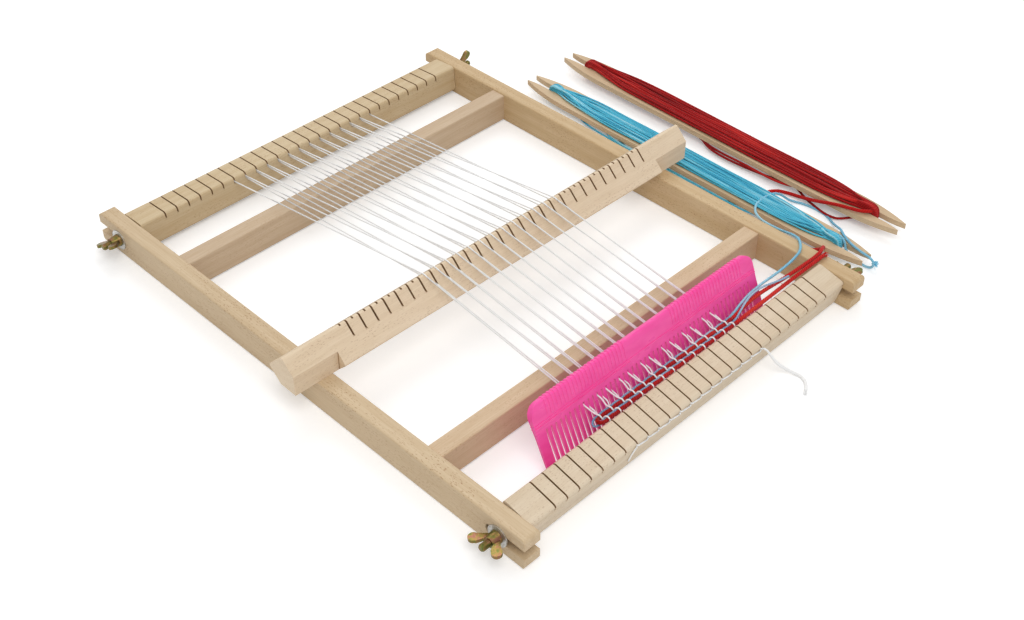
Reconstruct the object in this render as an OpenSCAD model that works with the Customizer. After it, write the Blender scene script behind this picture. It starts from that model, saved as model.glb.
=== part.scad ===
// Table-top weaving loom with a rocking heddle bar, a comb, two stick shuttles and a started cloth.
// Sizes are in millimetres. X runs across the loom, Y from the weaver to the back, Z up.

/* [Frame] */
// Length of each side rail
rail_length = 424.5; // [400:0.5:440]
// Height of each side rail
rail_height = 24; // [23.5:0.1:24.5]
// Thickness of each side rail
rail_thick = 12.5; // [10:0.5:14]
// Clear width between the side rails
inner_width = 301; // [299:0.5:303]
// Depth of the open slot in each rail end
fork_depth = 31; // [30:0.5:36]
// Height of the open slot in each rail end
fork_gap = 7.4; // [7.2:0.1:8]
// Thickness of the two stretchers
stretcher_thick = 13; // [10:0.5:14]
// Height of the two stretchers
stretcher_height = 22; // [18:0.5:23]

/* [Warp beams] */
// Depth of a beam from its inner to its outer face
beam_depth = 22.5; // [22:0.1:23]
// Height of a beam
beam_height = 21.5; // [21:0.1:22]
// Distance from one kerf to the next
kerf_pitch = 10; // [9.9:0.05:10.05]
// Number of kerfs in a beam
kerf_count = 27; // [21:2:27]
// Width of a saw kerf
kerf_width = 1.1; // [1.1:0.1:1.4]
// Lean of the front beam about its studs, in degrees
front_lean = 12.6; // [12:0.2:13]
// Lean of the back beam about its studs, in degrees
back_lean = 4; // [3.4:0.2:4.6]

/* [Heddle bar] */
// Length of the heddle bar
bar_length = 364; // [350:1:380]
// Thickness of the heddle bar
bar_thick = 21; // [21:0.5:21]
// Height of the heddle bar from the point of its feet
bar_height = 25; // [25:0.5:25]
// Width of the heddle slots
slot_width = 1.3; // [1.2:0.1:1.6]
// Number of heddle slots on each face
slot_count = 28; // [20:2:28]

/* [Hardware] */
// Diameter of the studs
stud_diameter = 4.8; // [4.4:0.1:4.8]
// Outer diameter of the washers
washer_diameter = 15; // [12:0.5:16]
// Span of the wing nuts from tip to tip
wing_span = 25.6; // [23:0.2:25.6]

/* [Comb] */
// Length of the comb
comb_length = 209; // [206:0.5:212]
// Height of the comb
comb_height = 51; // [48:0.5:52]
// Distance from one tooth to the next
tooth_pitch = 4; // [4:0.5:4]
// Gap between two teeth at their roots; it widens towards their tips
tooth_gap = 1.4; // [1.2:0.1:1.6]

/* [Shuttles] */
// Length of a shuttle
shuttle_length = 332; // [328:1:334]
// Width of a shuttle
shuttle_width = 24; // [23:0.5:26]
// Thickness of a shuttle
shuttle_thick = 4.2; // [3:0.2:4.2]
// Width of the notch in each end of a shuttle
notch_width = 6.6; // [6.6:0.1:7]
// Depth of the notch in each end of a shuttle
notch_depth = 27; // [26:0.5:28]

/* [Threads] */
// Diameter of the white warp cord
warp_diameter = 0.8; // [0.6:0.1:0.8]
// Diameter of the blue yarn
blue_diameter = 1.2; // [1:0.1:1.2]
// Diameter of the red yarn
red_diameter = 1.7; // [1.4:0.1:1.7]

/* [Show] */
// Sub-part to build, or all of them

/* [Hidden] */
$fn = 48;

beech = [0.86, 0.74, 0.56];
pale_beech = [0.88, 0.78, 0.62];
steel = [0.75, 0.75, 0.76];
zinc_yellow = [0.80, 0.70, 0.35];
pink = [0.93, 0.25, 0.58];
blue = [0.22, 0.70, 0.84];
red = [0.68, 0.08, 0.12];
white = [0.94, 0.93, 0.91];

half_in = inner_width / 2;
outer_face = half_in + rail_thick;

// Stud axes, measured from the front ends of the rails and from the table
front_y = 20.6;
front_z = 13;
back_y = 400.5;
back_z = 13.2;
fork_mid = 12.2;

// Stretchers
front_stretcher_y = 86.1;
back_stretcher_y = 338.6;
stretcher_z = 0.8;

// Heddle bar: the point of its feet rests on the rails, and the bar leans back 45 degrees
apex_y = 176.8;
apex_z = rail_height + 0.05;
bar_lean = 45;
bar_yaw = -0.7;
bar_shift = 2;
shoulder = 148;
slot_drop = 11.7;

// Comb: its teeth stand on the table behind the cloth and its grip leans away from the weaver
comb_y = 35.3;
comb_z = 0.3;
comb_lean = -25.5;
tooth_length = 32;
tip_widening = 0.8;
gap_count = 49;
rib_pitch = 3;

// Shuttles: centre, lift above the table and turn about Z
blue_place = [199.6, 184.8, 5];
red_place = [245.2, 186.3, 6.7];
shuttle_turn = -0.86;
taper_length = 45;
taper_radius = 156;

// Warp: kerfs 7 to 19 hold it at the front, 6 to 19 at the back
first_kerf = 7;
last_kerf = 19;

// The origin is in the middle of the whole object, on the table
reach_left = bar_length / 2 - bar_shift;
reach_right = red_place[0] + shuttle_width / 2 + 1.85;
mid_x = (reach_right - reach_left) / 2;

module place() {
    translate([-mid_x, -rail_length / 2, 0]) children();
}

// Shapes and sums that several pieces use

// A 2D outline drawn in Y and Z, run along X
module along_x(length) {
    rotate([90, 0, 90]) linear_extrude(height = length) children();
}

module rounded_square(w, h, r) {
    translate([r, 0]) square([w - 2 * r, h]);
    translate([0, r]) square([w, h - 2 * r]);
    for (x = [r, w - r], y = [r, h - r]) translate([x, y]) circle(r);
}

function unit(v) = v / norm(v);
function last(list) = len(list) - 1;
function tangent(p, i) =
    i == 0 ? unit(p[1] - p[0]) :
    i == last(p) ? unit(p[i] - p[i - 1]) :
    unit(unit(p[i + 1] - p[i]) + unit(p[i] - p[i - 1]));
function ring(c, t, up, r, sides) =
    let (a = unit(cross(t, up)), b = cross(a, t))
    [for (j = [0 : sides - 1]) c + r * (a * cos(360 * j / sides) + b * sin(360 * j / sides))];

// One unbroken tube along the points p. up is a direction that the route never follows
module tube(p, diameter, up, sides) {
    n = len(p);
    points = [for (i = [0 : n - 1]) each ring(p[i], tangent(p, i), up, diameter / 2, sides)];
    sides_a = [for (i = [0 : n - 2], j = [0 : sides - 1])
        [i * sides + j, i * sides + (j + 1) % sides, (i + 1) * sides + (j + 1) % sides]];
    sides_b = [for (i = [0 : n - 2], j = [0 : sides - 1])
        [i * sides + j, (i + 1) * sides + (j + 1) % sides, (i + 1) * sides + j]];
    start_cap = [for (j = [1 : sides - 2]) [0, j + 1, j]];
    end_cap = [for (j = [1 : sides - 2])
        [(n - 1) * sides, (n - 1) * sides + j, (n - 1) * sides + j + 1]];
    polyhedron(points = points, faces = concat(sides_a, sides_b, start_cap, end_cap));
}

// Rails, stretchers and their dowels

module fork_slot_2d() {
    r = fork_gap / 2;
    translate([-5, fork_mid - r]) square([fork_depth - r + 5, fork_gap]);
    translate([fork_depth - r, fork_mid]) circle(r);
}

module rail() {
    difference() {
        intersection() {
            along_x(rail_thick) rounded_square(rail_length, rail_height, 3);
            translate([0, rail_length, 0]) rotate([90, 0, 0])
                linear_extrude(height = rail_length) rounded_square(rail_thick, rail_height, 1.2);
        }
        translate([-1, 0, 0]) along_x(rail_thick + 2) {
            fork_slot_2d();
            translate([rail_length, 0]) mirror([1, 0]) fork_slot_2d();
        }
        for (y = [front_stretcher_y, back_stretcher_y], z = [6.5, 17.5])
            translate([-1, y, z]) rotate([0, 90, 0]) cylinder(h = 10, r = 3.05);
    }
}

module left_rail() {
    color(beech) place() translate([-half_in, 0, 0]) mirror([1, 0, 0]) rail();
}

module right_rail() {
    color(beech) place() translate([half_in, 0, 0]) rail();
}

module stretcher(y) {
    translate([-half_in, y - stretcher_thick / 2, stretcher_z]) difference() {
        along_x(inner_width) rounded_square(stretcher_thick, stretcher_height, 1);
        for (x = [-1, inner_width - 21], z = [6.5, 17.5])
            translate([x, stretcher_thick / 2, z - stretcher_z])
                rotate([0, 90, 0]) cylinder(h = 22, r = 3.05);
    }
}

module front_stretcher() {
    color(beech) place() stretcher(front_stretcher_y);
}

module back_stretcher() {
    color(beech) place() stretcher(back_stretcher_y);
}

module stretcher_dowels() {
    color(pale_beech) place()
        for (side = [-1, 1], y = [front_stretcher_y, back_stretcher_y], z = [6.5, 17.5])
            translate([side * (half_in - 6) - 14, y, z]) rotate([0, 90, 0]) cylinder(h = 28, r = 3);
}

// Warp beams

// In a beam's own frame Y runs from its outer face to its inner face, and Z up
kerf_floor_in = beam_height / 2 - 5;
kerf_floor_out = beam_height / 2 - 4;
function kerf_x(k) = (k - 13) * kerf_pitch;

module kerf_2d() {
    polygon([[beam_depth / 2 + 1, kerf_floor_in], [beam_depth / 2 + 1, beam_height],
             [-beam_depth / 2 - 1, beam_height], [-beam_depth / 2 - 1, kerf_floor_out]]);
}

module beam() {
    beam_length = inner_width - 0.6;
    difference() {
        translate([-beam_length / 2, -beam_depth / 2, -beam_height / 2])
            along_x(beam_length) rounded_square(beam_depth, beam_height, 2.5);
        for (i = [0 : kerf_count - 1])
            translate([(i - (kerf_count - 1) / 2) * kerf_pitch - kerf_width / 2, 0, 0])
                along_x(kerf_width) kerf_2d();
        // Shallow channel for the loops of the warp along the outer face
        translate([-beam_length / 2 - 1, -beam_depth / 2 - 1.6, beam_height / 2 - 2.9])
            rotate([0, 90, 0]) cylinder(h = beam_length + 2, r = 2.2);
        for (side = [-1, 1])
            translate([side * (beam_length / 2 - 14) - 15, 0, 0])
                rotate([0, 90, 0]) cylinder(h = 30, r = stud_diameter / 2 + 0.05);
    }
}

module front_beam() {
    color(beech) place() translate([0, front_y, front_z]) rotate([front_lean, 0, 0]) beam();
}

module back_beam() {
    color(beech) place() translate([0, back_y, back_z]) rotate([back_lean, 0, 180]) beam();
}

// Studs, washers and wing nuts, each drawn along +X from the outer face of the right rail

module stud() {
    inside = rail_thick + 26;
    rotate([0, 90, 0]) {
        translate([0, 0, -inside]) cylinder(h = inside + 13, r = stud_diameter / 2);
        translate([0, 0, 13]) cylinder(h = 1, r1 = stud_diameter / 2, r2 = stud_diameter / 2 - 0.7);
    }
}

module washer() {
    translate([0.05, 0, 0]) rotate([0, 90, 0]) difference() {
        cylinder(h = 1, d = washer_diameter);
        translate([0, 0, -1]) cylinder(h = 3, r = stud_diameter / 2 + 0.3);
    }
}

module wing_2d() {
    tip = wing_span / 2;
    difference() {
        union() {
            polygon([[1, 1.2], [3.6, 0.8], [tip - 4.9, 4.4], [tip - 2.2, 6.4], [tip - 4.4, 12.3],
                     [tip - 6.6, 11.2], [4, 6.6], [1, 6.2]]);
            translate([tip - 3.3, 9.3]) circle(3.3);
        }
        translate([tip - 8.9, 14.8]) circle(4.6);
    }
}

module wing_nut() {
    translate([1.15, 0, 0]) rotate([0, 90, 0]) difference() {
        union() {
            cylinder(h = 6.4, r1 = 4.6, r2 = 3.7);
            for (turn = [0, 180]) rotate([90, 0, turn])
                translate([0, 0, -1.1]) linear_extrude(height = 2.2) wing_2d();
        }
        translate([0, 0, -1]) cylinder(h = 9, r = stud_diameter / 2 + 0.06);
    }
}

module right_side(y, z) {
    place() translate([outer_face, y, z]) children();
}

module left_side(y, z) {
    place() translate([-outer_face, y, z]) mirror([1, 0, 0]) children();
}

module stud_front_left() { color(steel) left_side(front_y, front_z) stud(); }
module stud_front_right() { color(steel) right_side(front_y, front_z) stud(); }
module stud_back_left() { color(steel) left_side(back_y, back_z) stud(); }
module stud_back_right() { color(steel) right_side(back_y, back_z) stud(); }
module washer_front_left() { color(steel) left_side(front_y, front_z) washer(); }
module washer_front_right() { color(steel) right_side(front_y, front_z) washer(); }
module washer_back_left() { color(steel) left_side(back_y, back_z) washer(); }
module washer_back_right() { color(steel) right_side(back_y, back_z) washer(); }

module wing_nut_front_left() {
    color(zinc_yellow) left_side(front_y, front_z) rotate([83, 0, 0]) wing_nut();
}

module wing_nut_front_right() {
    color(zinc_yellow) right_side(front_y, front_z) rotate([75, 0, 0]) wing_nut();
}

module wing_nut_back_left() {
    color(zinc_yellow) left_side(back_y, back_z) rotate([65, 0, 0]) wing_nut();
}

module wing_nut_back_right() {
    color(zinc_yellow) right_side(back_y, back_z) rotate([5, 0, 0]) wing_nut();
}

// Heddle bar: in its own frame Y is its thickness and Z rises from the point of its feet

module bar_2d() {
    r = 2;
    translate([-bar_thick / 2, 1]) square([bar_thick, bar_height - r - 1]);
    translate([-bar_thick / 2 + 1, 0]) square([bar_thick - 2, 2]);
    for (y = [-1, 1]) translate([y * (bar_thick / 2 - 1), 1]) circle(1);
    translate([-bar_thick / 2 + r, bar_height - r - 1]) square([bar_thick - 2 * r, r + 1]);
    for (y = [-1, 1]) translate([y * (bar_thick / 2 - r), bar_height - r]) circle(r);
}

module foot_cut_2d() {
    polygon([[-16, -2], [16, -2], [16, 16], [0, 0], [-16, 16]]);
}

// Each cut is deep on one face and only nicks the other top edge
module heddle_cut_2d(face) {
    half = bar_thick / 2;
    polygon([[face * (half + 1), bar_height - slot_drop - 0.5], [face * (half + 1), bar_height + 2],
             [-face * (half + 1), bar_height + 2], [-face * (half + 1), bar_height - 1.2]]);
}

module heddle_bar_shape() {
    end = bar_length / 2 - shoulder;
    first = -(slot_count - 1) / 2 * 10;
    difference() {
        translate([-bar_length / 2, 0, 0]) along_x(bar_length) bar_2d();
        translate([-bar_length / 2 - 1, 0, 0]) along_x(end + 1) foot_cut_2d();
        translate([shoulder, 0, 0]) along_x(end + 1) foot_cut_2d();
        for (i = [0 : slot_count - 1]) {
            translate([first + 2.5 + 10 * i - slot_width / 2, 0, 0])
                along_x(slot_width) heddle_cut_2d(-1);
            translate([first - 2.5 + 10 * i - slot_width / 2, 0, 0])
                along_x(slot_width) heddle_cut_2d(1);
        }
    }
}

module heddle_bar() {
    color(pale_beech) place() translate([0, apex_y, apex_z]) rotate([0, 0, bar_yaw])
        translate([bar_shift, 0, 0]) rotate([-bar_lean, 0, 0]) heddle_bar_shape();
}

// Comb: in its own frame Z rises from the tips of the teeth

ridge_z = 37.4;

module comb_2d() {
    polygon([[-0.5, 0], [0.5, 0], [0.7, 6], [1, 29], [1.5, ridge_z], [2.3, 46], [2.2, 49.6],
             [1.5, 50.8], [0, comb_height], [-1.5, 50.8], [-2.2, 49.6], [-2.3, 46],
             [-1.5, ridge_z], [-1, 29], [-0.7, 6]]);
}

module comb_front_2d() {
    r = 10;
    translate([-comb_length / 2, -1]) square([comb_length, comb_height - r + 1]);
    translate([-comb_length / 2 + r, 0]) square([comb_length - 2 * r, comb_height + 1]);
    for (side = [-1, 1]) translate([side * (comb_length / 2 - r), comb_height - r]) circle(r);
}

module tooth_gap_2d() {
    tip = tooth_gap + tip_widening;
    polygon([[-tip / 2, -1], [tip / 2, -1], [tooth_gap / 2, tooth_length], [-tooth_gap / 2, tooth_length]]);
}

// A grip rib runs up one face, over the top edge and down the other face
module rib_2d() {
    polygon([[0, ridge_z + 1.4], [1.9, ridge_z + 1.4], [2.7, 46], [2.6, 49.8], [1.7, 51.2], [0, 51.4],
             [-1.7, 51.2], [-2.6, 49.8], [-2.7, 46], [-1.9, ridge_z + 1.4]]);
}

module comb_shape() {
    difference() {
        intersection() {
            translate([-comb_length / 2, 0, 0]) along_x(comb_length) comb_2d();
            rotate([90, 0, 0]) translate([0, 0, -10]) linear_extrude(height = 20) comb_front_2d();
        }
        for (i = [0 : gap_count - 1])
            translate([(i - (gap_count - 1) / 2) * tooth_pitch, 0, 0])
                rotate([90, 0, 0]) translate([0, 0, -5]) linear_extrude(height = 10) tooth_gap_2d();
    }
    // The ends and the middle panel have no ribs
    for (side = [-1, 1], i = [7 : 30])
        translate([side * (i + 0.5) * rib_pitch - 0.7, 0, 0]) along_x(1.4) rib_2d();
    // Ridge lines between the grip and the teeth
    for (face = [-1, 1]) {
        translate([-comb_length / 2, face * 1.6 - 0.35, ridge_z - 0.3])
            cube([comb_length, 0.7, 0.6]);
        for (side = [0, 1]) mirror([side, 0, 0])
            translate([20, face * 1.5 - 0.35, ridge_z - 2.1]) cube([comb_length / 2 - 20, 0.7, 0.6]);
    }
}

module comb() {
    color(pink) place() translate([0, comb_y, comb_z]) rotate([comb_lean, 0, 0]) comb_shape();
}

// Shuttles: in its own frame a shuttle lies along Y, centred, on Z = 0

// The mouth of a notch flares, so the tips beside it are pointed
module notch_mouth_2d() {
    inner = notch_width / 2;
    polygon([[-inner, -12], [inner, -12], [inner + 0.5, -6], [inner + 1.6, 0], [inner + 1.6, 1],
             [-inner - 1.6, 1], [-inner - 1.6, 0], [-inner - 0.5, -6]]);
}

module shuttle_end_2d() {
    start = shuttle_length / 2 - taper_length;
    difference() {
        intersection() {
            translate([-shuttle_width / 2, start - 1])
                square([shuttle_width, taper_length + 1]);
            translate([taper_radius - shuttle_width / 2, start]) circle(taper_radius, $fn = 180);
            translate([shuttle_width / 2 - taper_radius, start]) circle(taper_radius, $fn = 180);
        }
        translate([-notch_width / 2, shuttle_length / 2 - notch_depth])
            rounded_square(notch_width, notch_depth * 2, 0.5);
        translate([0, shuttle_length / 2]) notch_mouth_2d();
    }
}

module shuttle_shape() {
    start = shuttle_length / 2 - taper_length;
    linear_extrude(height = shuttle_thick) {
        translate([-shuttle_width / 2, -start]) square([shuttle_width, 2 * start]);
        shuttle_end_2d();
        mirror([0, 1]) shuttle_end_2d();
    }
}

module shuttle_at(p) {
    place() translate(p) rotate([0, 0, shuttle_turn]) children();
}

module blue_shuttle() {
    color(pale_beech) shuttle_at(blue_place) shuttle_shape();
}

module red_shuttle() {
    color(pale_beech) shuttle_at(red_place) shuttle_shape();
}

// Windings: the yarn runs from notch to notch, over one face and back under the other.
// Strand i lies in column floor(i / 3) and layer i % 3 where it passes a notch,
// and side by side with the others over the middle of the shuttle.

notch_y = shuttle_length / 2 - notch_depth;
layers = 3;
function column_x(i, n, pitch) = (floor(i / layers) - (ceil(n / layers) - 1) / 2) * pitch;
function spread_x(i, n, spread) = (i - (n - 1) / 2) * spread;
function layer_z(i, d, pitch) = shuttle_thick / 2 + d / 2 + 0.1 + (i % layers) * pitch;

// One straight run over a face, from one end of the stick to the other. face and way are 1 or -1
function strand(i, j, n, d, pitch, spread, face, way) =
    let (low = layer_z(0, d, pitch))
    [[column_x(i, n, pitch), -way * notch_y, face * layer_z(i, d, pitch)],
     [spread_x(i, n, spread), -way * (notch_y - 30), face * layer_z(i, d, pitch)],
     [spread_x(i, n, spread), -way * (notch_y - 56), face * low],
     [spread_x(j, n, spread), way * (notch_y - 56), face * low],
     [spread_x(j, n, spread), way * (notch_y - 30), face * layer_z(j, d, pitch)],
     [column_x(j, n, pitch), way * notch_y, face * layer_z(j, d, pitch)]];

// The turn through a notch, square round the thickness of the stick, from one face to the other
function turn(i, n, d, pitch, from_face, way) =
    let (half = shuttle_thick / 2, off = layer_z(i, d, pitch) - half, x = column_x(i, n, pitch))
    [[x, way * (notch_y + off * sin(45)), from_face * (half + off * cos(45))],
     [x, way * (notch_y + off), from_face * half],
     [x, way * (notch_y + off), -from_face * half],
     [x, way * (notch_y + off * sin(45)), -from_face * (half + off * cos(45))]];

function winding_route(n, d, pitch, spread) = [
    for (i = [0 : n - 1]) each concat(
        strand(i, i, n, d, pitch, spread, 1, -1),
        i == n - 1 ? [] : concat(
            turn(i, n, d, pitch, 1, -1),
            strand(i, i + 1, n, d, pitch, spread, -1, 1),
            turn(i + 1, n, d, pitch, -1, 1)))];

blue_count = 12;
blue_pitch = 1.75;
blue_spread = 1.8;
red_count = 9;
red_pitch = 2.3;
red_spread = 2.35;
blue_route = winding_route(blue_count, blue_diameter, blue_pitch, blue_spread);
red_route = winding_route(red_count, red_diameter, red_pitch, red_spread);

// Least distance between parts of one route that are further apart along it than two points
function to_segment(p, a, b) =
    let (t = max(0, min(1, (p - a) * (b - a) / ((b - a) * (b - a))))) norm(p - a - t * (b - a));
function samples(r) = [for (i = [0 : last(r) - 1], t = [0, 0.25, 0.5, 0.75])
    [i, r[i] + t * (r[i + 1] - r[i])]];
function least_gap(r, d) = min([for (s = samples(r)) min([for (j = [0 : last(r) - 1])
    if (abs(j - s[0]) > 5) to_segment(s[1], r[j], r[j + 1])])]) - d;

echo(blue_winding_gap = least_gap(blue_route, blue_diameter));
echo(red_winding_gap = least_gap(red_route, red_diameter));

module blue_winding() {
    color(blue) shuttle_at(blue_place + [0, 0, shuttle_thick / 2])
        tube(blue_route, blue_diameter, [1, 0, 0], 6);
}

module red_winding() {
    color(red) shuttle_at(red_place + [0, 0, shuttle_thick / 2])
        tube(red_route, red_diameter, [1, 0, 0], 6);
}

// Warp: one cord from the left knot to the right knot, round every tooth of the beams in use

// Points on the front and back beams, given in the beam's own frame with a towards the outer face
function on_front(x, a, b) = [x, front_y - a * cos(front_lean) - b * sin(front_lean),
    front_z - a * sin(front_lean) + b * cos(front_lean)];
function on_back(x, a, b) = [x, back_y + a * cos(back_lean) + b * sin(back_lean),
    back_z - a * sin(back_lean) + b * cos(back_lean)];
half_beam = beam_depth / 2;
outer_low = kerf_floor_out + 0.5;
outer_high = kerf_floor_out + 1.8;
inner_low = kerf_floor_in + 0.5;
inner_high = kerf_floor_in + 1.8;

// Heights of the weft picks, far pick first
far_blue = [40.2, 24.4];
far_red = [37.8, 24.4];
near_blue = [34.3, 23.9];
near_red = [31.9, 23.6];

// The comb holds the threads in its own gaps, so their spacing alternates between 8 and 12 mm
function comb_x(k) = kerf_x(first_kerf) + tooth_pitch * round(kerf_pitch * (k - first_kerf) / tooth_pitch);
function bar_y(x) = apex_y + x * sin(bar_yaw);
function nick_x(k) = bar_shift + 10 * (k - 13.75);
function slot_x(k) = bar_shift + 10 * (k - 13.25);

// A raised thread, from its front kerf over the top edge of the bar to the back kerf before it
function raised(k) =
    let (x = kerf_x(k), c = comb_x(k) - 4, h = nick_x(k), e = kerf_x(k - 1), y = bar_y(h) + 10.25)
    [on_front(x - 1.4, half_beam + 0.5, outer_low), on_front(x - 0.3, half_beam + 0.3, outer_low),
     on_front(x, half_beam - 0.5, outer_low), on_front(x, -half_beam + 0.2, inner_low),
     [x - 1.5, 32.2, 22.1], [x - 3, 34.8, 22.6],
     [x - 3.6, 37.2, 25.8], [x - 3.7, 40.4, 26.3], [c, 45.8, 26.9], [c, 50.6, 27.6],
     [h, y - 3.5, 47.9], [h, y - 1, 48.5], [h, y + 1, 48.5], [h, y + 3.5, 47.8],
     on_back(e, -half_beam + 0.2, inner_high), on_back(e, half_beam - 0.5, outer_high),
     on_back(e + 0.3, half_beam + 0.3, outer_high), on_back(e + 1.4, half_beam + 0.5, outer_high)];

// A lowered thread, from its back kerf through its heddle slot to its front kerf
function lowered(k) =
    let (x = kerf_x(k), c = comb_x(k), h = slot_x(k), y = bar_y(h) + 2)
    [on_back(x - 1.4, half_beam + 0.5, outer_low), on_back(x - 0.3, half_beam + 0.3, outer_low),
     on_back(x, half_beam - 0.5, outer_low), on_back(x, -half_beam + 0.2, inner_low),
     [h, y + 2, 41.3], [h, y, 41.4], [h, y - 2, 41.1],
     [c, 48.8, 24.1], [c, 44.2, 23.4], [x - 1.4, 40.2, 22.8], [x - 1.2, 37.6, 22.8],
     [x - 1, 34.2, 25], [x - 0.5, 31, 25.2],
     on_front(x, -half_beam + 0.2, inner_high), on_front(x, half_beam - 0.5, outer_high),
     on_front(x + 0.3, half_beam + 0.3, outer_high), on_front(x + 1.4, half_beam + 0.5, outer_high)];

// The short end of the left knot hangs down the outer face of the front beam
left_knot = [on_front(kerf_x(first_kerf) - 5.5, half_beam + 0.7, -4),
             on_front(kerf_x(first_kerf) - 5, half_beam + 0.7, 0),
             on_front(kerf_x(first_kerf) - 3.4, half_beam + 0.6, 5)];

warp_route = concat(left_knot, [for (k = [first_kerf : last_kerf]) each concat(raised(k), lowered(k))]);

module warp() {
    color(white) place() tube(warp_route, warp_diameter, [0, 0, 1], 6);
}

// Weft: each yarn goes in on the far pick, turns at the left edge and comes back

red_weft_route = [
    [64, far_red[0], far_red[1]], [60, far_red[0], far_red[1]], [-60, far_red[0], far_red[1]],
    [-64.6, 37.6, 24.5], [-67, 36.6, 24.9], [-68, 34.8, 25], [-67.2, 32.8, 24.8],
    [-65, 31.9, 24], [-62, near_red[0], near_red[1]], [58, near_red[0], near_red[1]],
    [62, near_red[0], near_red[1]]];
blue_weft_route = [
    [64, far_blue[0], far_blue[1]], [60, far_blue[0], far_blue[1]], [-62, far_blue[0], far_blue[1]],
    [-67, 39.8, 23.8], [-69.8, 38, 22.8], [-70.4, 36, 22.3], [-69.2, 34.3, 22.2],
    [-66.4, 33.9, 22.6], [-63, 34.2, 23.5], [-60, near_blue[0], near_blue[1]],
    [58, near_blue[0], near_blue[1]], [62, near_blue[0], near_blue[1]]];

module red_weft() {
    color(red) place() tube(red_weft_route, red_diameter, [0, 0, 1], 8);
}

module blue_weft() {
    color(blue) place() tube(blue_weft_route, blue_diameter, [0, 0, 1], 8);
}

// Free yarns, from the cloth over the right rail to the shuttles, and the loose ends

blue_yarn_route = [
    [64, far_blue[0], far_blue[1]], [68, 40.6, 24.6], [74, 41.4, 25.4], [88, 42, 26.4], [102, 42, 27],
    [121, 41.5, 27.3], [141, 43, 27], [151, 45.6, 26], [157, 49, 25.3], [163, 55, 25.1],
    [166.5, 62, 22.8], [169, 71, 19.6], [172, 84, 16], [176, 96, 13.4], [182, 105, 11.8],
    [188, 109.4, 11.4], [197, 111.5, 11.3], [205, 111, 11.3], [211.5, 109, 11], [217, 106.6, 7.6],
    [222, 103.4, 2.8], [226.4, 97.6, 0.8], [228.4, 90, 0.7], [228.8, 82, 0.7], [227.6, 73, 0.8],
    [223, 64, 2], [217.6, 55.6, 5.6], [212, 49, 9.6], [206, 41, 10.6], [202, 34, 10.7],
    [199.6, 28.6, 10.4], [199, 20, 7.6], [199.4, 15.6, 6.8], [199.2, 13.4, 5.4], [198, 14.2, 4.2],
    [197.6, 20, 3.8], [198, 28, 4.2], [198.4, 34, 4.8], [198.8, 37, 6.6], [199.6, 40.2, 9.4],
    [199.9, 42.4, 12], [200, 44.2, 13.2], [200, 45.6, 13.4]];
red_yarn_route = [
    [64, far_red[0], far_red[1]], [70, 38.2, 24.6], [80, 38.8, 25], [92, 38.6, 25.4], [104, 37.8, 25.8],
    [118, 36.6, 26.2], [132, 35.2, 26.4], [144, 34, 26.2], [152, 33.6, 25.6], [160, 34.4, 25.4],
    [165, 36.6, 25], [170, 39.4, 22], [176, 42.2, 17.6], [181, 45, 12.6], [183.6, 48.6, 8],
    [184, 53.4, 4.4], [182.6, 60, 1.8], [180.6, 70, 1.1], [180.6, 82, 1], [183, 93, 1],
    [188, 102, 1], [196, 110, 1], [205, 117, 1], [214, 121.4, 1], [222, 122.4, 1], [228, 118.4, 1.1],
    [229.8, 111, 1.8], [229.8, 101, 3.2], [229.6, 92, 5], [229.2, 82, 8], [229.2, 74, 10.8],
    [230.6, 67, 12.4], [232.4, 58, 12.6], [234, 49, 12.6], [236.4, 41.4, 12.8], [239.8, 38.2, 13.8],
    [243, 38.4, 15.2], [244.8, 41, 16.2], [245.3, 44, 16.5], [245.3, 47, 16.5]];
blue_tail_route = [
    [62, near_blue[0], near_blue[1]], [66, 34.6, 24.4], [71, 35.6, 26], [78, 37, 27.4], [86, 38.6, 28.2],
    [94, 39.2, 28.4], [102, 38.4, 28.4], [108, 36.4, 28.6], [114, 34.4, 28.8], [121, 33, 29]];
red_tail_route = [
    [62, near_red[0], near_red[1]], [68, 31.8, 23.8], [78, 31.6, 24.3], [90, 31.5, 24.8], [104, 31.5, 25],
    [118, 31.4, 25.1], [132, 31.2, 25.2], [144, 30.8, 25.2], [152, 30.4, 25.1], [159, 30, 25.1]];
warp_tail_route = [
    [61.5, 7.2, 18.8], [62.3, 5.4, 18], [62.9, 2.8, 15.8], [63.8, 0, 12.6], [65.6, -3, 9],
    [68.6, -6, 5.6], [71.6, -9, 2.8], [73.6, -12, 1.1], [74, -16, 0.5], [72.4, -20, 0.5],
    [68.8, -23.6, 0.5], [65, -26, 0.5]];

module blue_yarn() {
    color(blue) place() tube(blue_yarn_route, blue_diameter, [0.05, 0.1, 1], 8);
}

module red_yarn() {
    color(red) place() tube(red_yarn_route, red_diameter, [0.05, 0.1, 1], 8);
}

module blue_tail() {
    color(blue) place() tube(blue_tail_route, blue_diameter, [0, 0, 1], 8);
}

module red_tail() {
    color(red) place() tube(red_tail_route, red_diameter, [0, 0, 1], 8);
}

module warp_tail() {
    color(white) place() tube(warp_tail_route, warp_diameter, [1, 0, 0.3], 8);
}

left_rail();
right_rail();
front_stretcher();
back_stretcher();
stretcher_dowels();
front_beam();
back_beam();
stud_front_left();
stud_front_right();
stud_back_left();
stud_back_right();
washer_front_left();
washer_front_right();
washer_back_left();
washer_back_right();
wing_nut_front_left();
wing_nut_front_right();
wing_nut_back_left();
wing_nut_back_right();
heddle_bar();
comb();
blue_shuttle();
red_shuttle();
blue_winding();
red_winding();
warp();
blue_weft();
red_weft();
blue_yarn();
red_yarn();
blue_tail();
red_tail();
warp_tail();
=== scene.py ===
# A table-top weaving loom with a rocking heddle bar, a comb, two stick shuttles and a started cloth
import math
import random

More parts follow.
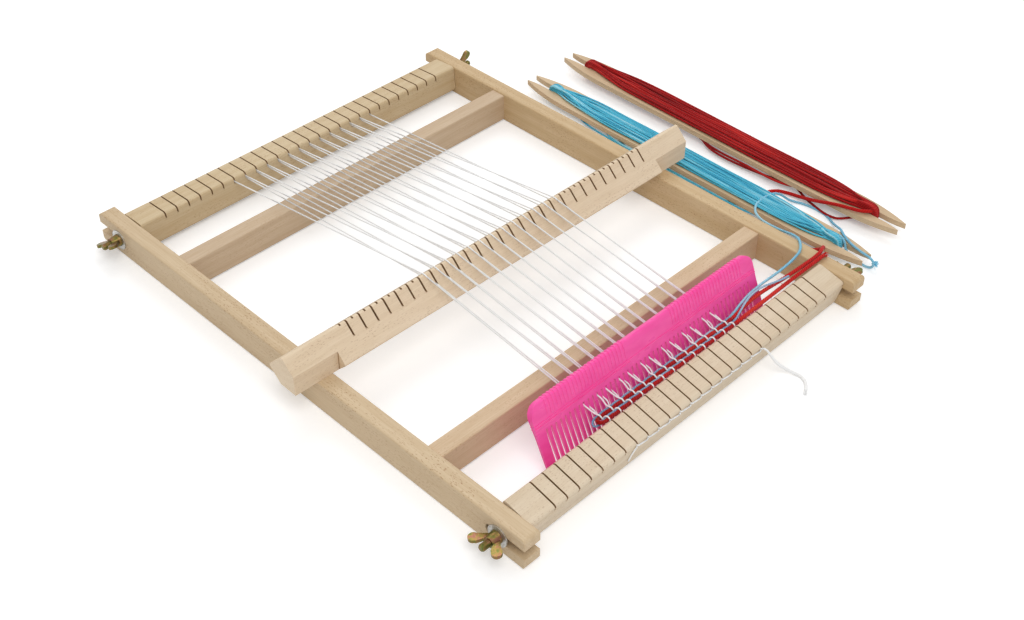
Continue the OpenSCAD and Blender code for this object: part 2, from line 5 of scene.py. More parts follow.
import bpy
import numpy as np
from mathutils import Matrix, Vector


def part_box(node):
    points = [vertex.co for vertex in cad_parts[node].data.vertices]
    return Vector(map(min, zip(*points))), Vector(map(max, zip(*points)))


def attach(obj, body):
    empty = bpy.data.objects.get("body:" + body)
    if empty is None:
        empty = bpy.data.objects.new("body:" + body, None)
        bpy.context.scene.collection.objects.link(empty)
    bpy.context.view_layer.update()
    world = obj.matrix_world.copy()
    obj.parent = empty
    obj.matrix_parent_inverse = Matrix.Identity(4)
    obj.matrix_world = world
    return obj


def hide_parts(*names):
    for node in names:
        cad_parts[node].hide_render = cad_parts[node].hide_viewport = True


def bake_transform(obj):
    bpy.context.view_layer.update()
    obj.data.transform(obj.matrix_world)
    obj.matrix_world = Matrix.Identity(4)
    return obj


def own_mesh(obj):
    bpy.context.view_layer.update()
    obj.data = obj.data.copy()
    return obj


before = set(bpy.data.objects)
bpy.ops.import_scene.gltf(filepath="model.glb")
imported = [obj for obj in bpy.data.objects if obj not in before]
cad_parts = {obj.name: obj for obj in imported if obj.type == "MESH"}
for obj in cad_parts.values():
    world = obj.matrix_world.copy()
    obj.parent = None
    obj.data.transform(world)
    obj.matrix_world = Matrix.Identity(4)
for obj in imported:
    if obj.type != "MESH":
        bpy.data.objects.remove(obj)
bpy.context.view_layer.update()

# Routes are measured in millimetres from the table, midway between the front ends of the rails
MM = 0.001
left_rail_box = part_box("left_rail")
right_rail_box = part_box("right_rail")
ZERO = Vector(((left_rail_box[0].x + right_rail_box[1].x) / 2, left_rail_box[0].y, 0))


def at(x, y, z):
    return ZERO + Vector((x, y, z)) * MM


def all_at(route):
    return [at(*point) for point in route]


# Camera

CAMERA_PLACE = at(-519.4, -344.9, 620.9)
CAMERA_TURN = (math.radians(49.17), math.radians(-0.1), math.radians(-45.02))
CAMERA_LENS = 49.19


def make_camera():
    data = bpy.data.cameras.new("camera")
    data.sensor_width = 36
    data.lens = CAMERA_LENS
    data.clip_start = 0.05
    camera = bpy.data.objects.new("camera", data)
    camera.location = CAMERA_PLACE
    camera.rotation_euler = CAMERA_TURN
    bpy.context.scene.collection.objects.link(camera)
    bpy.context.scene.camera = camera


# Shader helpers


def add(tree, kind, inputs=None, **settings):
    node = tree.nodes.new(kind)
    for name, value in settings.items():
        setattr(node, name, value)
    for name, value in (inputs or {}).items():
        if isinstance(value, bpy.types.NodeSocket):
            tree.links.new(value, node.inputs[name])
        else:
            node.inputs[name].default_value = value
    return node


def calc(tree, operation, a, b=0.0, clamp=False):
    return add(tree, "ShaderNodeMath", {0: a, 1: b}, operation=operation, use_clamp=clamp).outputs[0]


def times(tree, a, b):
    return calc(tree, "MULTIPLY", a, b)


def plus(tree, a, b, clamp=False):
    return calc(tree, "ADD", a, b, clamp)


def scaled(tree, vector, scale, offset=(0, 0, 0), turn=(0, 0, 0)):
    return add(tree, "ShaderNodeMapping", {"Vector": vector, "Scale": scale, "Location": offset,
                                           "Rotation": turn}).outputs[0]


def noise(tree, vector, scale, detail=2.0, distortion=0.0):
    return add(tree, "ShaderNodeTexNoise", {"Vector": vector, "Scale": scale, "Detail": detail,
                                            "Distortion": distortion}).outputs["Fac"]


def spread(tree, value, low, high, to_low=0.0, to_high=1.0):
    return add(tree, "ShaderNodeMapRange", {"Value": value, "From Min": low, "From Max": high,
                                            "To Min": to_low, "To Max": to_high}).outputs[0]


def mixed(tree, factor, a, b):
    """A colour between a and b. The mix node's colour sockets are its numbers 6, 7 and 2."""
    return add(tree, "ShaderNodeMix", {"Factor": factor, 6: a, 7: b}, data_type="RGBA").outputs[2]


def xyz(tree, vector):
    """The three parts of a vector."""
    return add(tree, "ShaderNodeSeparateXYZ", {0: vector}).outputs


def own_place(tree):
    """Where a point is, in metres, on an object that moves with its body."""
    return tree.nodes.new("ShaderNodeTexCoord").outputs["Object"]


def walls_across(tree, place, middle, reach):
    """1 on faces across X that are within reach of the middle, in metres."""
    normal = tree.nodes.new("ShaderNodeNewGeometry").outputs["Normal"]
    across = calc(tree, "GREATER_THAN", calc(tree, "ABSOLUTE", xyz(tree, normal)[0]), 0.8)
    aside = calc(tree, "ABSOLUTE", calc(tree, "SUBTRACT", xyz(tree, place)[0], middle))
    return times(tree, across, calc(tree, "LESS_THAN", aside, reach))


def make_group(name, inputs, outputs):
    group = bpy.data.node_groups.new(name, "ShaderNodeTree")
    for label, kind, start in inputs:
        group.interface.new_socket(label, in_out="INPUT", socket_type=kind).default_value = start
    for label, kind in outputs:
        group.interface.new_socket(label, in_out="OUTPUT", socket_type=kind)
    return group, group.nodes.new("NodeGroupInput").outputs, group.nodes.new("NodeGroupOutput").inputs


def use_group(tree, group, inputs):
    node = tree.nodes.new("ShaderNodeGroup")
    node.node_tree = group
    for name, value in inputs.items():
        if isinstance(value, bpy.types.NodeSocket):
            tree.links.new(value, node.inputs[name])
        else:
            node.inputs[name].default_value = value
    return node.outputs


def new_material(name):
    material = bpy.data.materials.new(name)
    material.use_nodes = True
    material.node_tree.nodes.clear()
    return material, material.node_tree


def finish_material(tree, inputs):
    shader = add(tree, "ShaderNodeBsdfPrincipled", inputs)
    output = tree.nodes.new("ShaderNodeOutputMaterial")
    tree.links.new(shader.outputs[0], output.inputs["Surface"])


def bumped(tree, height, depth, strength=1.0):
    return add(tree, "ShaderNodeBump", {"Height": height, "Distance": depth, "Strength": strength}).outputs[0]


def linear(level):
    share = level / 255
    return share / 12.92 if share < 0.0404 else ((share + 0.055) / 1.055) ** 2.4


def colour(red, green, blue):
    """The linear colour of an sRGB one, each from 0 to 255."""
    return [linear(red), linear(green), linear(blue), 1.0]


# Timber: the grain runs along X of the vector that it gets, in metres


def make_timber_group():
    """Each pattern is long along the grain and fine across it. The scales are per metre."""
    group, given, result = make_group(
        "timber",
        [("Vector", "NodeSocketVector", (0, 0, 0)), ("Light", "NodeSocketColor", (0.8, 0.6, 0.4, 1)),
         ("Dark", "NodeSocketColor", (0.6, 0.4, 0.2, 1)), ("Rings", "NodeSocketFloat", 0.3),
         ("Flecks", "NodeSocketFloat", 0.5)],
        [("Color", "NodeSocketColor"), ("Roughness", "NodeSocketFloat"), ("Height", "NodeSocketFloat")])
    grain = given["Vector"]
    clouds = noise(group, scaled(group, grain, (7, 34, 34)), 1.0, 3.0)
    rings = add(group, "ShaderNodeTexWave",
                {"Vector": scaled(group, grain, (2.2, 46, 46)), "Scale": 1.0, "Distortion": 7.0,
                 "Detail": 2.0, "Detail Scale": 0.7},
                wave_type="RINGS", rings_direction="X").outputs["Fac"]
    fibres = noise(group, scaled(group, grain, (55, 1300, 1300)), 1.0, 3.0)
    pores = noise(group, scaled(group, grain, (420, 3600, 3600)), 1.0, 1.0)
    rays = add(group, "ShaderNodeTexVoronoi",
               {"Vector": scaled(group, grain, (330, 1250, 1250)), "Scale": 1.0}).outputs["Distance"]
    where = spread(group, noise(group, scaled(group, grain, (20, 90, 90)), 1.0, 2.0), 0.38, 0.62)
    flecks = times(group, times(group, spread(group, rays, 0.30, 0.14), where), given["Flecks"])
    amount = times(group, spread(group, rings, 0.1, 0.9), given["Rings"])
    amount = plus(group, amount, times(group, spread(group, fibres, 0.3, 0.72), 0.38))
    amount = plus(group, amount, times(group, spread(group, clouds, 0.3, 0.7), 0.34), True)
    wood = mixed(group, amount, given["Light"], given["Dark"])
    pored = mixed(group, spread(group, pores, 0.62, 0.76, 0.0, 0.4), wood, given["Dark"])
    group.links.new(mixed(group, flecks, pored, colour(150, 104, 66)), result["Color"])
    group.links.new(spread(group, fibres, 0.2, 0.8, 0.46, 0.62), result["Roughness"])
    group.links.new(calc(group, "SUBTRACT", plus(group, fibres, pores), flecks), result["Height"])
    return group


def make_timber(name, along, shift, light, dark, rings, flecks, cuts):
    """along is X or Y, and shift moves the growth rings, in metres, so that no two pieces match.
    Within cuts of the middle, in metres, faces across X are the walls of saw cuts, painted darker: partly saw
    burn, partly painted shade in the cuts."""
    material, tree = new_material(name)
    place = own_place(tree)
    turn = (0, 0, 0) if along == "X" else (0, 0, math.radians(90))
    out = use_group(tree, timber_group,
                    {"Vector": scaled(tree, place, (1, 1, 1), shift, turn), "Light": colour(*light),
                     "Dark": colour(*dark), "Rings": rings, "Flecks": flecks})
    wood = out["Color"]
    if cuts:
        # The walls of the saw cuts get a darker brown: partly saw burn, partly painted shade in the cuts
        wood = mixed(tree, walls_across(tree, place, ZERO.x, cuts), wood, colour(158, 124, 88))
    finish_material(tree, {"Base Color": wood, "Roughness": out["Roughness"], "Specular IOR Level": 0.35,
                           "Normal": bumped(tree, out["Height"], 0.00006, 0.5)})
    return material


# Yarn: the UV map of a strand goes once round it in U and along it in V, in millimetres


def make_strand_group():
    group, given, result = make_group(
        "twisted strand",
        [("Vector", "NodeSocketVector", (0, 0, 0)), ("Plies", "NodeSocketFloat", 3.0),
         ("Lay", "NodeSocketFloat", 4.0), ("Base", "NodeSocketColor", (0.5, 0.5, 0.5, 1)),
         ("Shade", "NodeSocketColor", (0.2, 0.2, 0.2, 1)), ("Tip", "NodeSocketColor", (0.8, 0.8, 0.8, 1))],
        [("Color", "NodeSocketColor"), ("Height", "NodeSocketFloat")])
    round_it, along_it, _ = xyz(group, given["Vector"])
    around = times(group, round_it, given["Plies"])
    along = calc(group, "DIVIDE", times(group, along_it, given["Plies"]), given["Lay"])
    twist = plus(group, around, along)
    lobes = calc(group, "ABSOLUTE", calc(group, "SINE", times(group, twist, math.pi)))
    fibre_place = add(group, "ShaderNodeCombineXYZ",
                      {0: times(group, twist, 6.0), 1: times(group, along_it, 0.9)}).outputs[0]
    fibres = noise(group, fibre_place, 2.2, 3.0)
    blotches = noise(group, scaled(group, given["Vector"], (0.4, 0.12, 1)), 1.0, 2.0)
    # Painted shade in the grooves between the plies
    groove = mixed(group, spread(group, lobes, 0.05, 0.75), given["Shade"], given["Base"])
    # Painted highlight on the fibres that stand highest
    lit = mixed(group, spread(group, fibres, 0.5, 0.8, 0.0, 0.55), groove, given["Tip"])
    # Each pass of a winding is a different stretch of the yarn, a little darker or paler than the next
    stretches = noise(group, scaled(group, given["Vector"], (0, 0.011, 1)), 1.0, 1.0)
    paler = mixed(group, spread(group, stretches, 0.47, 0.34, 0.0, 0.75), lit, given["Tip"])
    blotched = spread(group, blotches, 0.35, 0.65, 0.0, 0.12)
    tone = plus(group, blotched, spread(group, stretches, 0.5, 0.68, 0.0, 0.6))
    group.links.new(mixed(group, tone, paler, given["Shade"]), result["Color"])
    group.links.new(plus(group, lobes, times(group, fibres, 0.45)), result["Height"])
    return group


def make_yarn(name, plies, lay, base, shade, tip, depth=0.00025):
    """lay is the length of one turn of the plies, in millimetres. shade is the painted shade between the
    plies, and tip the painted highlight on their highest fibres. Both also give some stretches a darker or
    paler tone."""
    material, tree = new_material(name)
    place = tree.nodes.new("ShaderNodeTexCoord").outputs["UV"]
    out = use_group(tree, strand_group, {"Vector": place, "Plies": plies, "Lay": lay, "Base": colour(*base),
                                         "Shade": colour(*shade), "Tip": colour(*tip)})
    finish_material(tree, {"Base Color": out["Color"], "Roughness": 0.95, "Sheen Weight": 0.12,
                           "Sheen Roughness": 0.5, "Specular IOR Level": 0.1,
                           "Normal": bumped(tree, out["Height"], depth)})
    return material


def make_fibre(name, dark, pale):
    """Loose fibres are too thin to show twist. Some are paler than others."""
    material, tree = new_material(name)
    shade = noise(tree, own_place(tree), 900.0, 2.0)
    tint = mixed(tree, spread(tree, shade, 0.35, 0.65), colour(*dark), colour(*pale))
    finish_material(tree, {"Base Color": tint, "Roughness": spread(tree, shade, 0.3, 0.7, 0.85, 0.95),
                           "Specular IOR Level": 0.1})
    return material


# Metal and plastic


def make_steel(name):
    material, tree = new_material(name)
    place = own_place(tree)
    cloud = noise(tree, place, 900.0, 3.0)
    tint = mixed(tree, spread(tree, cloud, 0.35, 0.7), colour(212, 212, 210), colour(172, 169, 162))
    finish_material(tree, {"Base Color": tint, "Metallic": 1.0,
                           "Roughness": spread(tree, cloud, 0.3, 0.7, 0.28, 0.5),
                           "Normal": bumped(tree, noise(tree, place, 3000.0, 2.0), 0.00004, 0.4)})
    return material


THREAD_PITCH = 0.8 * MM


def make_yellow_zinc(name, threaded):
    """Passivated zinc: brown gold, with green and pink where the film is thicker."""
    material, tree = new_material(name)
    place = own_place(tree)
    film = noise(tree, place, 240.0, 2.0, 0.8)
    warm = mixed(tree, spread(tree, film, 0.36, 0.52), colour(100, 104, 54), colour(134, 112, 64))
    tint = mixed(tree, spread(tree, film, 0.52, 0.68), warm, colour(138, 95, 78))
    grain = noise(tree, place, 1800.0, 3.0)
    height = grain
    if threaded:
        turns = times(tree, xyz(tree, place)[0], math.tau / THREAD_PITCH)
        height = plus(tree, times(tree, calc(tree, "SINE", turns), 4.0), grain)
    finish_material(tree, {"Base Color": tint, "Metallic": 1.0,
                           "Roughness": spread(tree, grain, 0.3, 0.7, 0.24, 0.42),
                           "Normal": bumped(tree, height, 0.00006, 0.6)})
    return material


# Half the length of the comb's row of teeth
HALF_TEETH = 102 * MM


def make_pink_plastic(name):
    material, tree = new_material(name)
    place = own_place(tree)
    flow = noise(tree, scaled(tree, place, (60, 200, 200)), 1.0, 2.0)
    tint = mixed(tree, spread(tree, flow, 0.35, 0.7), colour(253, 83, 170), colour(246, 69, 160))
    # The teeth are thin enough to let some light through, so the walls between them are painted paler: a
    # painted glow that stands in for that light
    low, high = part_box("comb")
    painted_glow_between_teeth = walls_across(tree, place, (low.x + high.x) / 2, HALF_TEETH)
    tint = mixed(tree, painted_glow_between_teeth, tint, colour(255, 114, 186))
    finish_material(tree, {"Base Color": tint, "Roughness": spread(tree, flow, 0.3, 0.7, 0.26, 0.36),
                           "Subsurface Weight": 0.08, "Subsurface Radius": (0.003, 0.001, 0.002),
                           "Subsurface Scale": 1.0,
                           "Normal": bumped(tree, noise(tree, place, 700.0, 2.0), 0.00005, 0.25)})
    return material


timber_group = make_timber_group()
strand_group = make_strand_group()
# Piece: grain, shift of the rings, light and dark wood, contrast of the rings, share of flecks, and half
# the length of its row of saw cuts
TIMBERS = {
    "left_rail": ("Y", (0.00, 0.031, -0.052), (214, 192, 159), (186, 159, 122), 0.16, 0.9, 0),
    "right_rail": ("Y", (0.33, 0.012, -0.094), (210, 185, 146), (183, 151, 107), 0.2, 0.9, 0),
    "front_stretcher": ("X", (0.11, 0.095, -0.036), (215, 191, 160), (190, 159, 123), 0.15, 0.5, 0),
    "back_stretcher": ("X", (0.52, -0.141, -0.066), (206, 184, 156), (182, 154, 122), 0.15, 0.4, 0),
    "stretcher_dowels": ("X", (0.71, 0.041, -0.036), (216, 195, 164), (188, 162, 127), 0.1, 0.2, 0),
    "front_beam": ("X", (0.23, 0.165, -0.086), (225, 209, 185), (201, 179, 149), 0.15, 0.45, 0.14),
    "back_beam": ("X", (0.87, -0.233, -0.046), (213, 194, 160), (188, 160, 118), 0.15, 0.6, 0.14),
    "heddle_bar": ("X", (0.61, 0.005, -0.136), (234, 215, 188), (210, 186, 153), 0.12, 0.5, 0.146),
    "blue_shuttle": ("Y", (0.42, -0.144, -0.056), (214, 190, 156), (186, 156, 120), 0.15, 0.3, 0),
    "red_shuttle": ("Y", (0.15, -0.187, -0.081), (214, 190, 156), (184, 154, 118), 0.15, 0.3, 0),
}
yellow_zinc = make_yellow_zinc("yellow zinc", False)
threaded_zinc = make_yellow_zinc("threaded yellow zinc", True)
steel = make_steel("zinc steel")
pink_plastic = make_pink_plastic("pink plastic")
blue_yarn = make_yarn("blue yarn", 3, 4.6, (90, 206, 232), (38, 150, 190), (186, 238, 248))
pale_blue_yarn = make_yarn("pale blue yarn", 2, 3.0, (146, 180, 208), (92, 128, 170), (206, 224, 240))
# Painted light: the loose stretches of the blue yarn are painted lighter than the same yarn in the cloth and
# the winding
loose_blue_yarn = make_yarn("loose blue yarn", 3, 4.6, (142, 208, 232), (96, 164, 202), (204, 240, 250))
red_yarn = make_yarn("red yarn", 3, 5.4, (180, 20, 22), (118, 8, 12), (214, 50, 44))
# Painted light: the loose stretches of the red yarn are painted brighter than the same yarn in the cloth and
# the winding
loose_red_yarn = make_yarn("loose red yarn", 3, 5.4, (206, 30, 26), (150, 12, 14), (232, 70, 60))
cotton = make_yarn("white cotton", 3, 2.4, (251, 251, 250), (228, 227, 225), (254, 254, 254), 0.0001)
blue_fibre = make_fibre("blue fibre", (104, 194, 228), (138, 218, 244))
red_fibre = make_fibre("red fibre", (190, 24, 22), (218, 46, 40))
white_fibre = make_fibre("white fibre", (247, 247, 245), (254, 254, 254))


def dress(name, material):
    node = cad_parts[name]
    node.data.materials.clear()
    node.data.materials.append(material)


def dress_frame():
    for name, facts in TIMBERS.items():
        dress(name, make_timber(name.replace("_", " ") + " timber", *facts))
    for corner in ("front_left", "front_right", "back_left", "back_right"):
        dress("stud_" + corner, threaded_zinc)
        dress("washer_" + corner, steel)
        dress("wing_nut_" + corner, yellow_zinc)
    dress("comb", pink_plastic)


# Strands


def smooth(points, step):
    """Points about a step apart on a curve through all the given ones."""
    p = np.array([list(q) for q in points], float)
    gaps = np.linalg.norm(np.diff(p, axis=0), axis=1)[:, None]
    slopes = np.diff(p, axis=0) / gaps
    inner = (slopes[:-1] * gaps[1:] + slopes[1:] * gaps[:-1]) / (gaps[:-1] + gaps[1:])
    speeds = np.vstack([slopes[:1], inner, slopes[-1:]])
    found = []
    for i, gap in enumerate(gaps[:, 0]):
        count = max(1, round(gap / step))
        for t in np.arange(count) / count:
            found.append(p[i] * (1 + 2 * t) * (1 - t) ** 2 + p[i + 1] * t * t * (3 - 2 * t)
                         + gap * (speeds[i] * t * (1 - t) ** 2 - speeds[i + 1] * t * t * (1 - t)))
    return np.array(found + [p[-1]])


def sweep(points, radius, sides):
    """Vertices, faces and UVs of a closed tube along the points.
    radius is one number, or one for each point."""
    n = len(points)
    radius = np.broadcast_to(radius, n)
    step = np.diff(points, axis=0)
    step /= np.linalg.norm(step, axis=1)[:, None]
    tangent = np.vstack([step[:1], step[1:] + step[:-1], step[-1:]])
    tangent /= np.linalg.norm(tangent, axis=1)[:, None]
    # Any direction that no strand starts along gives the first side
    side = np.cross(tangent[0], (0.31, 0.17, 0.93))
    side /= np.linalg.norm(side)
    turns = np.arange(sides) / sides * 2 * math.pi
    verts = np.empty((n, sides, 3))
    for i in range(n):
        side = side - tangent[i] * (side @ tangent[i])
        side /= np.linalg.norm(side)
        up = np.cross(tangent[i], side)
        verts[i] = points[i] + radius[i] * (np.outer(np.cos(turns), side) + np.outer(np.sin(turns), up))
    length = np.concatenate([[0], np.cumsum(np.linalg.norm(np.diff(points, axis=0), axis=1))]) / MM
    faces, uvs = [], []
    for i in range(n - 1):
        for j in range(sides):
            k = (j + 1) % sides
            faces.append((i * sides + j, i * sides + k, (i + 1) * sides + k, (i + 1) * sides + j))
            uvs += [(j / sides, length[i]), ((j + 1) / sides, length[i]), ((j + 1) / sides, length[i + 1]),
                    (j / sides, length[i + 1])]
    for i, order in ((0, -1), (n - 1, 1)):
        ring = [i * sides + j for j in range(sides)][::order]
        faces.append(tuple(ring))
        uvs += [(j / sides, length[i]) for j in range(sides)]
    return verts.reshape(-1, 3), faces, uvs


def strand_object(name, strands, radius, material, sides=8):
    """One object of all the strands, each a list of points."""
    verts, faces, uvs = [], [], []
    first = 0
    for strand in strands:
        v, f, u = sweep(np.array([list(q) for q in strand], float), radius, sides)
        verts.append(v)
        faces += [tuple(i + first for i in face) for face in f]
        uvs += u
        first += len(v)
    mesh = bpy.data.meshes.new(name)
    mesh.from_pydata(np.vstack(verts).tolist(), [], faces)
    layer = mesh.uv_layers.new(name="strand")
    layer.data.foreach_set("uv", np.array(uvs, np.float32).ravel())
    mesh.polygons.foreach_set("use_smooth", [True] * len(faces))
    mesh.materials.append(material)
    thing = bpy.data.objects.new(name, mesh)
    bpy.context.scene.collection.objects.link(thing)
    return thing


HAIR_RADIUS = 0.05 * MM
FRAY_RADIUS = 0.11 * MM
HAIR_STEPS = 4
HAIR_CURL = 0.28


def scatter(chance, width):
    """A random step, of about width each way."""
    return Vector([chance.gauss(0, width) for _ in range(3)])


def hair(chance, root, way, length, droop):
    """One fibre that starts along way and curls, as a few points."""
    points = [Vector(root)]
    for _ in range(HAIR_STEPS):
        way = (way + scatter(chance, HAIR_CURL) - Vector((0, 0, droop))).normalized()
        points.append(points[-1] + way * length / HAIR_STEPS)
        points[-1].z = max(points[-1].z, HAIR_RADIUS)
    return points


def fuzz(name, path, radius, count, length, material, seed):
    """Stray fibres that stand off a yarn, about length millimetres long."""
    chance = random.Random(seed)
    hairs = []
    for _ in range(count):
        i = chance.randrange(1, len(path) - 1)
        along = Vector(path[i + 1] - path[i - 1]).normalized()
        out = scatter(chance, 1)
        out = (out - out.dot(along) * along).normalized()
        way = (out * 0.6 + along * chance.choice((-1, 1)) * 0.8).normalized()
        root = Vector(path[i]) + out * radius * 0.8
        hairs.append(hair(chance, root, way, length * chance.uniform(0.5, 1.2) * MM, 0))
    return strand_object(name, hairs, HAIR_RADIUS, material, 4)


def tuft(name, root, way, count, length, width, material, seed):
    """The frayed end of a yarn: fibres about width from its middle, in millimetres."""
    chance = random.Random(seed)
    way = Vector(way).normalized()
    hairs = []
    for _ in range(count):
        start = Vector(root) + scatter(chance, width) * MM
        turned = (way + scatter(chance, 0.22)).normalized()
        hairs.append(hair(chance, start, turned, length * chance.uniform(0.6, 1.1) * MM, 0.1))
    return strand_object(name, hairs, FRAY_RADIUS, material, 4)


def above_table(path, radius):
    """The path with no part of its yarn under the table's top."""
    path = np.array(path)
    path[:, 2] = np.maximum(path[:, 2], radius)
    return path


def mm_path(route, step):
    """A smooth path in metres along a route in millimetres."""
    return smooth(all_at(route), step * MM)


# Warp: 26 threads between the beams, alternately over and through the heddle bar

KERF_PITCH = 10
FIRST_KERF, MIDDLE_KERF, LAST_KERF = 7, 13, 19
TOOTH_PITCH = 4
# The middle of each beam, and its lean
FRONT_Y, FRONT_Z, FRONT_LEAN = 20.6, 13, math.radians(12.6)
BACK_Y, BACK_Z, BACK_LEAN = 400.5, 13.2, math.radians(4)
HALF_DEPTH = 11.25
# Two threads lie in each kerf, one over the other, and climb a little from the inner to the outer face
OUTER_LOW, OUTER_HIGH = 7.25, 8.55
INNER_LOW, INNER_HIGH = 6.25, 7.55
# How far a loop starts beside its kerf, and how far it stands off the outer face
LOOP_ASIDE, LOOP_OFF = 1.4, 0.5
# Where the heddle bar's feet stand on the rails, its turn on them and the shift of its slots
FEET_Y, BAR_YAW, BAR_SHIFT = 176.8, math.radians(-0.7), 2
# Where a thread crosses the bar: how far behind its feet, and before the shift how many kerfs to the left
RAISED_BEHIND, LOWERED_BEHIND = 10.25, 2
RAISED_ASIDE, LOWERED_ASIDE = 0.75, 0.25
CLOTH_Y = 31.6
COMB_BACK_Y = 60
BACK_SPLIT_Y = 346
WARP_RADIUS = 0.52 * MM
# The threads in the bar are a little thinner than the spans that meet them
HIDDEN_RADIUS = 0.51 * MM


def kerf_x(k):
    return (k - MIDDLE_KERF) * KERF_PITCH


def comb_x(k):
    """The gap of the comb that is nearest to the kerf."""
    gap = math.floor(KERF_PITCH * (k - FIRST_KERF) / TOOTH_PITCH + 0.5)
    return kerf_x(FIRST_KERF) + TOOTH_PITCH * gap


def feet_y(x):
    """The line through the bar's feet, at x."""
    return FEET_Y + x * math.sin(BAR_YAW)


def on_front(x, a, b):
    """A point by the front beam's own axes: a towards its outer face, b upwards."""
    return (x, FRONT_Y - a * math.cos(FRONT_LEAN) - b * math.sin(FRONT_LEAN),
            FRONT_Z - a * math.sin(FRONT_LEAN) + b * math.cos(FRONT_LEAN))


def on_back(x, a, b):
    """The same for the back beam."""
    return (x, BACK_Y + a * math.cos(BACK_LEAN) + b * math.sin(BACK_LEAN),
            BACK_Z - a * math.sin(BACK_LEAN) + b * math.cos(BACK_LEAN))


def kerf_run(place, x, outer, inner, way):
    """From the loop on the outer face, through the kerf, to the inner edge of a beam."""
    return [place(x + way * LOOP_ASIDE, HALF_DEPTH + LOOP_OFF, outer),
            place(x + way * 0.3, HALF_DEPTH + 0.3, outer), place(x, HALF_DEPTH - 0.5, outer),
            place(x, 0, (outer + inner) / 2), place(x, 0.2 - HALF_DEPTH, inner)]


def between(a, b, y):
    """The point with that y on the line from a to b."""
    t = (y - a[1]) / (b[1] - a[1])
    return tuple(p + t * (q - p) for p, q in zip(a, b))


def raised_runs(k):
    """A thread over the top edge of the bar. It ends one kerf further to the left than it starts."""
    x, h, e = kerf_x(k), BAR_SHIFT + kerf_x(k - RAISED_ASIDE), kerf_x(k - 1)
    gap, y = comb_x(k) - TOOTH_PITCH, feet_y(h) + RAISED_BEHIND
    front = kerf_run(on_front, x, OUTER_LOW, INNER_LOW, -1)
    weave = [(x - 1, CLOTH_Y, 22.6), (x - 2, 33, 23.1), (x - 2.7, 34, 24.9), (x - 3.2, 35.4, 26.5),
             (x - 3.5, 37.7, 26), (gap, 44.4, 26.8), (gap, 50.6, 27.6)]
    top = [(h, y - 3.5, 47.9), (h, y - 1, 48.5), (h, y + 1, 48.5), (h, y + 3.5, 47.8)]
    back = kerf_run(on_back, e, OUTER_HIGH, INNER_HIGH, 1)
    return split_runs(front, weave, top, back[::-1])


def lowered_runs(k):
    """A thread at the bottom of its slot in the bar."""
    x, h = kerf_x(k), BAR_SHIFT + kerf_x(k - LOWERED_ASIDE)
    gap, y = comb_x(k), feet_y(h) + LOWERED_BEHIND
    front = kerf_run(on_front, x, OUTER_HIGH, INNER_HIGH, 1) + [(x - 0.1, 30.3, 25.3)]
    weave = [(x - 0.4, CLOTH_Y, 26.5), (x - 0.8, 33, 25.9), (x - 1.1, 34.2, 23.9), (x - 1.3, 36, 22.7),
             (gap, 43.2, 23.3), (gap, 48.8, 24.1)]
    slot = [(h, y - 2, 41.1), (h, y, 41.4), (h, y + 2, 41.3)]
    back = kerf_run(on_back, x, OUTER_LOW, INNER_LOW, -1)
    return split_runs(front, weave, slot, back[::-1])


def split_runs(front, weave, bar, back):
    """One thread as runs that share their end points, from the front beam to the back beam."""
    past_comb = between(weave[-1], bar[0], COMB_BACK_Y)
    before_back = between(bar[-1], back[0], BACK_SPLIT_Y)
    return {"front loop": front + [weave[0]], "cloth": weave + [past_comb],
            "front span": [past_comb, bar[0]], "bar": bar, "back span": [bar[-1], before_back],
            "back run": [before_back, back[0]], "back loop": back}


def loops_between(place, first_x, second_x, first_height, second_height):
    """The short run along the outer face from one kerf to the next."""
    return [place(first_x + LOOP_ASIDE, HALF_DEPTH + LOOP_OFF, first_height),
            place(second_x - LOOP_ASIDE, HALF_DEPTH + LOOP_OFF, second_height)]


# How a thread moves where it crosses the bar, from the bar leaning back to leaning forward
RAISED_MOVE = Vector((-0.15, -12.25, -7.1)) * MM
LOWERED_MOVE = Vector((-0.15, -12.25, 7.1)) * MM
# How the near end of the span behind the bar moves, to stay on the thread's new line
RAISED_BACK_MOVE = Vector((0, 0, -8.4)) * MM
LOWERED_BACK_MOVE = Vector((0, 1.6, 5)) * MM


def follow_bar(thing):
    """The span gets a mesh of its own."""
    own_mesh(thing)


def travel_with_bar(thing):
    """The short piece gets a mesh of its own."""
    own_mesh(thing)


def bar_path(runs):
    """Over the bar, and on inside the span behind it for as far as the bar carries the thread forward."""
    start, end = runs["back span"]
    spare = between(start, end, start[1] + 13)
    return np.vstack([mm_path(runs["bar"], 0.7), [at(*spare)]])


